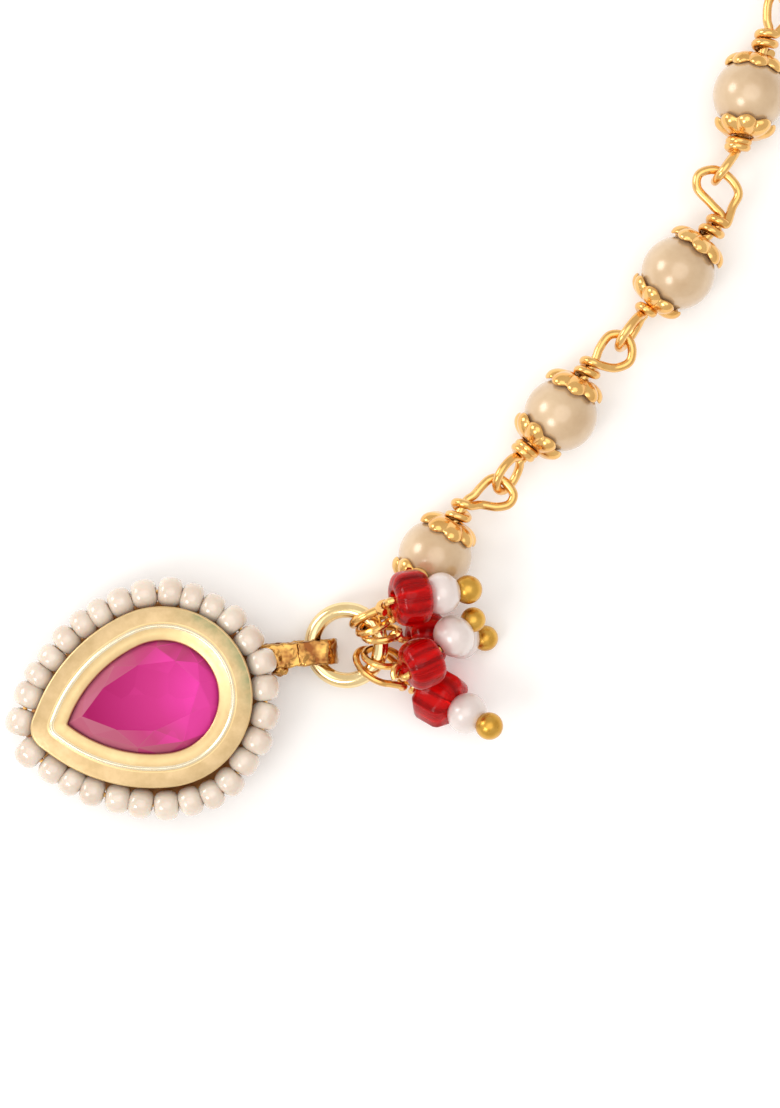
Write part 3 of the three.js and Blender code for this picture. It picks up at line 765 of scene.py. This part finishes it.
def makeSeeds():
    look = seedShape
    bead = barrelBead(look)
    chance = random.Random(29)
    spots = [Vector((x + look["shiftX"], y + look["shiftY"], look["z"])) for x, y in seedPlaces]
    ends = [spots[0] * 2 - spots[1]] + spots + [spots[-1] * 2 - spots[-2]]
    strung = []
    for k, (before, spot, after) in enumerate(zip(ends, spots, ends[2:])):
        along = (after - before).normalized()
        outward = along.cross(upward)
        if outward.dot(spot) < 0:
            outward = -outward
        spot = spot - outward * look["inward"]
        strung.append(spot)
        aim = Matrix.Rotation(math.radians(chance.uniform(-1, 1) * look["turnSpread"]), 3, "Z") @ along
        copy = copyPiece(bead)
        placeAlong(copy, spot, aim, chance.uniform(0, 360))
        room = ((after - spot).length + (spot - before).length) / 2
        copy.scale = [1 + chance.uniform(-1, 1) * look["sizeSpread"] for axis in range(3)]
        copy.scale.z = min(1.14, max(0.94, room / look["length"]))
        finishPiece(copy, f"seed_bead_{k + 1:02d}", "seed_beads", seedGlass, 50)
    removePiece(bead)
    strand = wirePiece(smoothPath(strung, 0.4), look["wire"], 8)
    finishPiece(strand, "seed_strand", "seed_beads", gold)


makeSeeds()
print("seed beads strung")


# jump ring, open where its ends meet under the bail

ringShape = {"x": 15.23, "y": 4.15, "z": 2.4, "radius": 2.9, "wire": 1.3, "tilt": 12, "cut": 180,
             "gap": 1.2}
ringMiddle = Vector((ringShape["x"], ringShape["y"], ringShape["z"]))
ringTilt = Matrix.Rotation(math.radians(-ringShape["tilt"]), 3, "Y")


def onRing(angle):
    outward = ringTilt @ heading(angle)
    return ringMiddle + outward * ringShape["radius"]


def makeRing():
    look = ringShape
    start = look["cut"] + look["gap"] / 2
    sweep = 360 - look["gap"]
    piece = wirePiece([onRing(start + sweep * k / 120) for k in range(121)], look["wire"], 24)
    bevelEdges(piece, 0.05, 2, 60)
    return finishPiece(piece, "ring_wire", "jump_ring", ringGold, 40)


makeRing()
print("jump ring made")


# drops: a ball pin through a white pearl and a red bead, its eye on the ring, its end wound round the stem

redShape = {"diameter": 4.72, "length": 3.05, "bore": 0.74, "sides": 24, "rounding": 1.0,
            "groove": 0.05, "grooveEvery": 3, "levels": 1}
cutRedShape = {"diameter": 4.8, "length": 3.15, "bore": 0.9, "sides": 7, "rounding": 0.75,
               "groove": 0.0, "levels": 0}
pearlShape = {"diameter": 3.42, "length": 3.1, "bore": 0.9}
pinShape = {"wire": 0.6, "ball": 2.2, "coil": 0.62, "eyeStart": 20, "eyeSweep": 300}
# each eye is an oval round the ring: its middle, where its long side points, half length and width, lean
dropRows = {
    "drop_1": {"eye": (17.57, 5.86, 3.49), "eyeTurn": 26.7, "long": 1.48, "wide": 1.54, "lean": 14,
               "turns": 0.9, "bead": "fluted", "beadTurn": 0, "beadLift": 0.0, "pearlSlide": -0.36,
               "ballSlide": -0.76, "ballSize": 1.07, "beadSize": 1.0, "pearlSize": 1.0},
    "drop_2": {"eye": (18.14, 5.08, 2.96), "eyeTurn": 7.8, "long": 1.44, "wide": 1.15, "lean": 26.9,
               "turns": 0.6, "bead": "fluted", "beadTurn": 0, "beadLift": 0.15, "pearlSlide": 0.0,
               "ballSlide": -0.6, "ballSize": 0.97, "beadSize": 1.0, "pearlSize": 0.975},
    "drop_3": {"eye": (18.22, 3.17, 3.06), "eyeTurn": -10.4, "long": 1.53, "wide": 1.22, "lean": 33.9,
               "turns": 0.9, "bead": "fluted", "beadTurn": -16, "beadLift": 0.0, "pearlSlide": 0.2,
               "ballSlide": -0.3, "ballSize": 0.94, "beadSize": 0.91, "pearlSize": 1.04},
    "drop_4": {"eye": (17.89, 2.41, 2.61), "eyeTurn": -31.1, "long": 2.06, "wide": 1.66, "lean": 40.1,
               "turns": 1.1, "bead": "cut", "beadTurn": 0, "beadLift": 0.32, "pearlSlide": 0.0,
               "ballSlide": -0.36, "ballSize": 1.03, "beadSize": 1.0, "pearlSize": 1.0},
}


def markAround(piece):
    # the angle round the bead, for streaks that run along it
    layer = piece.data.attributes.new("around", "FLOAT", "POINT")
    for corner, value in zip(piece.data.vertices, layer.data):
        value.value = math.atan2(corner.co.y, corner.co.x) / (2 * math.pi) + 0.5


def makeBall():
    # a sphere drawn out at its lower pole into a short neck
    ball = pinShape["ball"] / 2 * mm
    clearAll()
    bpy.ops.mesh.primitive_uv_sphere_add(segments=28, ring_count=18, radius=ball)
    piece = bpy.context.object
    bpy.ops.object.mode_set(mode="EDIT")
    pick(piece, "FACE", lambda face: face.calc_center_median().z < -0.94 * ball)
    bpy.ops.mesh.extrude_region_move(TRANSFORM_OT_translate={"value": (0, 0, -0.12 * ball)})
    bpy.ops.transform.resize(value=(0.9, 0.9, 0.1))
    bpy.ops.object.mode_set(mode="OBJECT")
    return piece


def pinPath(name, row):
    red = boxMiddle(f"{name}_red_bead") + upward * row["beadLift"]
    white = boxMiddle(f"{name}_white_pearl")
    axis = (white - red).normalized()
    back = red - axis * (redShape["length"] / 2 + 0.1)
    pearl = white + axis * row["pearlSlide"]
    ball = white + axis * ((pearlShape["length"] + pinShape["ball"]) / 2 + row["ballSlide"])
    middle, aim, lean = Vector(row["eye"]), heading(row["eyeTurn"]), math.radians(row["lean"])
    across = heading(row["eyeTurn"] + 90) * math.sin(lean) - upward * math.cos(lean)
    leave = middle + aim * row["long"]
    elbow = back - axis * 0.9
    stem = [leave.lerp(elbow, t).lerp(elbow.lerp(back, t), t) for t in [k / 10 for k in range(11)]]
    turns = [math.radians(pinShape["eyeStart"] + pinShape["eyeSweep"] * k / 16) for k in range(17)]
    eye = [middle + aim * row["long"] * math.cos(t) + across * row["wide"] * math.sin(t) for t in turns]
    coil = coilAround(stem[1:6], row["turns"], pinShape["coil"], -across, 10)
    path = smoothPath([ball, red, back] + stem[8:1:-2] + [leave] + eye + coil, 0.14)
    return path, axis, red, pearl, ball


def makeDrops():
    ballModel = makeBall()
    pearlModel = boredBall(pearlShape["diameter"], pearlShape["length"], pearlShape["bore"])
    fluted = barrelBead(redShape)
    cut = barrelBead(cutRedShape)
    bevelEdges(cut, 0.12, 2, 20)
    for model in (fluted, cut):
        markAround(model)
    for k, (name, row) in enumerate(dropRows.items()):
        path, axis, red, pearl, ball = pinPath(name, row)
        pin = wirePiece(path, pinShape["wire"], 10)
        finishPiece(pin, f"{name}_pin", f"{name}_head_pin", gold)
        copy = copyPiece(ballModel)
        placeAlong(copy, ball, axis)
        copy.scale = [row["ballSize"]] * 3
        finishPiece(copy, f"{name}_ball", f"{name}_head_pin", ballGold)
        copy = copyPiece(pearlModel)
        placeAlong(copy, pearl, axis, 40 * k)
        copy.scale = [row["pearlSize"]] * 3
        finishPiece(copy, f"{name}_pearl", f"{name}_white_pearl", whiteLustre)
        copy = copyPiece(cut if row["bead"] == "cut" else fluted)
        turned = Matrix.Rotation(math.radians(row["beadTurn"]), 3, "Z") @ axis
        placeAlong(copy, red, turned, 25 * k + 10)
        copy.scale = (row["beadSize"], row["beadSize"], 1)
        finishPiece(copy, f"{name}_glass", f"{name}_red_bead", redGlass, 25)
    for model in (ballModel, pearlModel, fluted, cut):
        removePiece(model)


makeDrops()
print("drops made")


# chain links: capped pearls on wire with a flat upper loop, an upright lower loop and wound ends

chainPearl = {"diameter": 6.0, "bore": 1.3}
# a flower cap's section at a petal and between two petals: radius and distance along the axis
capShape = {"petals": 8, "around": 128, "thickness": 0.26,
            "petal": [(0.8, 3.48), (1.35, 3.45), (1.88, 3.3), (2.34, 2.98), (2.58, 2.52), (2.52, 2.06)],
            "valley": [(0.8, 3.48), (1.3, 3.42), (1.68, 3.18), (1.95, 2.9), (2.13, 2.66), (2.24, 2.45)]}
chainWire = {"diameter": 0.75, "coil": 0.74, "height": 3.0, "round": 0.72, "ringSpot": 51, "slack": 0.3,
             "lowStart": 3.4, "lowCoilEnd": 3.75}
# a cap's phase turns its petals, its rise lifts its outer end and its slide moves it outwards
linkRows = {
    "link_1": {"axis": 56, "upperTurn": 4, "upperCap": 6, "upperSlide": -0.05, "upperPhase": 13,
               "upperRise": 9, "lowerTurn": -2, "lowerCap": -4, "lowerSlide": -0.1, "lowerPhase": 0,
               "lowerRise": 12, "top": 5.3, "coilEnd": 3.5, "turns": 1.33,
               "loop": [(25.68, 16.43), (26.33, 17.17), (26.99, 17.76), (27.65, 17.88), (28.4, 17.4),
                        (28.95, 16.45), (28.6, 15.75), (27.64, 15.5), (26.3, 15.68)],
               "hang": None, "lowTop": 4.8, "lowTurns": 1.9, "lowCoil": 0.74, "half": 1.75, "roll": 10},
    "link_2": {"axis": 50, "upperTurn": 8, "upperCap": 14, "upperSlide": 0.1, "upperPhase": 3,
               "upperRise": 9, "lowerTurn": -5, "lowerCap": -7, "lowerSlide": 0.1, "lowerPhase": 14,
               "lowerRise": 5, "top": 5.4, "coilEnd": 3.65, "turns": 1.63,
               "loop": [(36.0, 28.5), (36.9, 29.6), (38.1, 29.5), (38.65, 28.6), (38.45, 27.4),
                        (37.3, 26.9)],
               "hang": (28.28, 17.78), "lowTop": 4.8, "lowTurns": 1.9, "lowCoil": 0.74, "half": 1.5,
               "roll": 30},
    "link_3": {"axis": 51, "upperTurn": 0, "upperCap": 2, "upperSlide": 0.15, "upperPhase": 3,
               "upperRise": 5, "lowerTurn": -2, "lowerCap": -4, "lowerSlide": 0.1, "lowerPhase": 11,
               "lowerRise": -7, "top": 5.75, "coilEnd": 3.9, "turns": 1.63,
               "loop": [(45.2, 40.3), (44.0, 41.7), (44.15, 42.75), (45.4, 43.15), (46.75, 42.4),
                        (47.4, 41.2), (46.9, 40.1)],
               "hang": (38.2, 29.44), "lowTop": 4.5, "lowTurns": 1.0, "lowCoil": 0.6, "half": 1.5,
               "roll": 14},
    "link_4": {"axis": 75, "upperTurn": -2, "upperCap": 3, "upperSlide": -0.1, "upperPhase": 0,
               "upperRise": -2, "lowerTurn": 2, "lowerCap": 6, "lowerSlide": 0.1, "lowerPhase": 3,
               "lowerRise": 5, "top": 5.55, "coilEnd": 3.75, "turns": 1.85,
               "loop": [(49.75, 55.4), (49.9, 57.0), (50.6, 57.95), (51.7, 57.9), (52.2, 56.9),
                        (51.6, 55.6)],
               "hang": (46.1, 43.05), "lowTop": 4.8, "lowTurns": 1.9, "lowCoil": 0.72, "half": 1.5,
               "roll": 0},
}


def makeCap():
    # a deep cup of rings whose rim opens into petals, each swollen behind its tip
    look = capShape
    rings = []
    for (petalFlat, petalRise), (valleyFlat, valleyRise) in zip(look["petal"], look["valley"]):
        ring = []
        for k in range(look["around"]):
            turn = 2 * math.pi * k / look["around"]
            petal = abs(math.cos(look["petals"] * turn / 2)) ** 0.8
            flat = valleyFlat + (petalFlat - valleyFlat) * petal
            rise = valleyRise + (petalRise - valleyRise) * petal
            ring.append(Vector((flat * math.cos(turn), flat * math.sin(turn), rise)))
        rings.append(ring)
    piece = extrudeRings(rings, False)
    applyModifier(piece, "SOLIDIFY", thickness=look["thickness"] * mm, offset=-1)
    applyModifier(piece, "SUBSURF", levels=1, render_levels=1)
    return piece


def upperEnd(row, middle, axis):
    side = axis.cross(upward)
    top = middle + axis * row["top"]
    loop = [Vector((x, y, chainWire["height"])) for x, y in row["loop"]]
    core = [top - axis * 0.25, middle + axis * row["coilEnd"]]
    start = (side + upward * 0.9).normalized()
    coil = coilAround(core, row["turns"], chainWire["coil"], start)
    return [middle + axis * (row["coilEnd"] - 0.4), top] + loop + coil


def lowerEnd(row, middle, axis):
    start = middle + axis * row["lowTop"]
    if row["hang"] is None:
        crossing = onRing(chainWire["ringSpot"])
        hung = ringShape["wire"]
    else:
        crossing = Vector((*row["hang"], chainWire["height"]))
        hung = chainWire["diameter"]
    along = (crossing - start).normalized()
    far = crossing + along * (chainWire["slack"] + (hung + chainWire["diameter"]) / 2)
    across = along.cross(upward).normalized()
    roll = math.radians(row["roll"])
    side = across.cross(along) * math.cos(roll) + across * math.sin(roll)
    loop = []
    for turn in [math.radians(40 + 290 * k / 12) for k in range(13)]:
        reach = (1 - math.cos(turn)) / 2
        width = row["half"] * math.sin(turn) * (chainWire["round"] + (1 - chainWire["round"]) * reach)
        loop.append(start.lerp(far, reach) + side * width)
    core = [start - axis * 0.2, middle + axis * chainWire["lowCoilEnd"]]
    coil = coilAround(core, row["lowTurns"], row["lowCoil"], -side)
    return [middle + axis * chainWire["lowStart"], start] + loop + coil


def makeLinks():
    pearlModel = boredBall(chainPearl["diameter"], chainPearl["diameter"], chainPearl["bore"], 56, 36)
    capModel = makeCap()
    for k, (name, row) in enumerate(linkRows.items()):
        middle = boxMiddle(f"{name}_pearl")
        upper = heading(row["axis"] + row["upperTurn"])
        lower = -heading(row["axis"] + row["lowerTurn"])
        low = lowerEnd(row, middle, lower)
        path = smoothPath(low[::-1] + upperEnd(row, middle, upper), 0.13)
        wire = wirePiece(path, chainWire["diameter"], 14)
        finishPiece(wire, f"{name}_looped_wire", f"{name}_wire", gold)
        copy = copyPiece(pearlModel)
        placeAlong(copy, middle, heading(row["axis"]), 30 * k)
        finishPiece(copy, f"{name}_round_pearl", f"{name}_pearl", champagne)
        caps = {"upper": heading(row["axis"] + row["upperCap"]),
                "lower": -heading(row["axis"] + row["lowerCap"])}
        for end, axis in caps.items():
            copy = copyPiece(capModel)
            rise = math.radians(row[f"{end}Rise"])
            axis = axis * math.cos(rise) + upward * math.sin(rise)
            placeAlong(copy, middle + axis * row[f"{end}Slide"], axis, row[f"{end}Phase"])
            finishPiece(copy, f"{name}_flower_{end}", f"{name}_cap_{end}", gold, 60)
    removePiece(pearlModel)
    removePiece(capModel)


makeLinks()
print("chain made")


# hair hook: an eye in the last loop, a shank, a round bend and a free leg on the floor

# the landing is the shank's way down to the floor, as steps from where it comes to lie
hookShape = {"wire": 0.9, "eye": 1.25, "hang": (51.5, 58.02), "fromPearl": 4.9, "shankX": 52.2,
             "shankStart": 62.9, "bendY": 68.4, "bend": 2.95, "legEnd": 63.6,
             "landing": [(-0.05, -2.0, 0.6), (0, -1.0, 0.16), (0, 0, 0.02), (0, 1.2, 0)]}


def makeHook():
    look = hookShape
    low = look["wire"] / 2
    hang = Vector((*look["hang"], chainWire["height"]))
    tail = boxMiddle("link_4_pearl") + heading(linkRows["link_4"]["axis"]) * look["fromPearl"]
    away = (hang - tail).normalized()
    eyeMiddle = hang + away * (look["eye"] - low - chainWire["diameter"] / 2 - 0.1)
    eye = [eyeMiddle + (away * math.cos(t) + upward * math.sin(t)) * look["eye"]
           for t in [math.radians(330 - 330 * k / 22) for k in range(23)]]
    leave = eye[-1]
    landing = Vector((look["shankX"], look["shankStart"], low))
    shank = [leave + away * 1.1 - upward * 0.35]
    shank += [landing + Vector(step) for step in look["landing"]]
    shank.append(Vector((look["shankX"], look["bendY"], low)))
    bend = [Vector((look["shankX"] - look["bend"] * (1 - math.cos(t)),
                    look["bendY"] + look["bend"] * math.sin(t), low))
            for t in [math.pi * k / 14 for k in range(1, 15)]]
    leg = [Vector((look["shankX"] - 2 * look["bend"], look["legEnd"], low))]
    piece = wirePiece(smoothPath(eye + shank + bend + leg, 0.2), look["wire"], 16)
    bevelEdges(piece, 0.2, 3, 60)
    return finishPiece(piece, "hook_wire", "hair_hook", gold, 50)


makeHook()
print("hook made")


# studio: pale floor, soft light from the left and a camera straight above

studio = {"lensX": 18.82, "lensY": 11.64, "plane": 3.0, "frameHeight": 90.86, "lens": 100, "sensor": 36,
          "glow": 0.1, "air": (1, 0.96, 0.91, 1), "airPower": 0.78}
# each softbox: its name, the direction it stands in, distance, size and power
softboxes = [("upperLeftBox", (-0.80, 0.37, 0.45), 0.45, 0.2, 0.42),
             ("lowerLeftBox", (-0.51, -0.41, 0.77), 0.45, 0.18, 0.4),
             ("topBox", (0.05, 0.05, 1), 0.6, 0.6, 0.9)]


def addSoftbox(name, direction, distance, size, power):
    clearAll()
    bpy.ops.object.light_add(type="AREA")
    lamp = bpy.context.object
    lamp.name = name
    target = Vector((studio["lensX"], studio["lensY"], 0)) * mm
    aim = Vector(direction).normalized()
    lamp.location = target + aim * distance
    lamp.rotation_mode = "QUATERNION"
    lamp.rotation_quaternion = aim.to_track_quat("Z", "Y")
    lamp.data.shape = "DISK"
    lamp.data.size = size
    lamp.data.energy = power


def makeStudio():
    clearAll()
    bpy.ops.mesh.primitive_plane_add(size=2.4, location=(0.02, 0.01, 0))
    floor = bpy.context.object
    floor.name = "pale_floor"
    paper = newFinish("palePaper")
    shader = shaderOf(paper)
    fibres = speckle(paper, 900)
    tone = ramp(paper, fibres, "Fac", [(0.3, (0.93, 0.93, 0.93)), (0.7, (0.95, 0.95, 0.95))])
    join(paper, tone, "Color", shader, "Base Color")
    shader.inputs["Roughness"].default_value = 0.9
    shader.inputs["Emission Color"].default_value = (1, 1, 1, 1)
    shader.inputs["Emission Strength"].default_value = studio["glow"]
    floor.data.materials.append(paper)

    for row in softboxes:
        addSoftbox(*row)
    world = bpy.data.worlds.new("studioAir")
    bpy.context.scene.world = world
    world.use_nodes = True
    air = world.node_tree.nodes["Background"]
    air.inputs["Color"].default_value = studio["air"]
    air.inputs["Strength"].default_value = studio["airPower"]

    bpy.ops.object.camera_add()
    camera = bpy.context.object
    camera.data.lens = studio["lens"]
    camera.data.sensor_width = studio["sensor"]
    reach = studio["frameHeight"] * studio["lens"] / camera.data.sensor_width
    camera.location = Vector((studio["lensX"], studio["lensY"], studio["plane"] + reach)) * mm
    camera.rotation_euler = (0, 0, 0)
    camera.data.clip_start = 0.01
    bpy.context.scene.camera = camera
    bpy.context.scene.view_settings.view_transform = "Standard"


makeStudio()
print("studio ready")
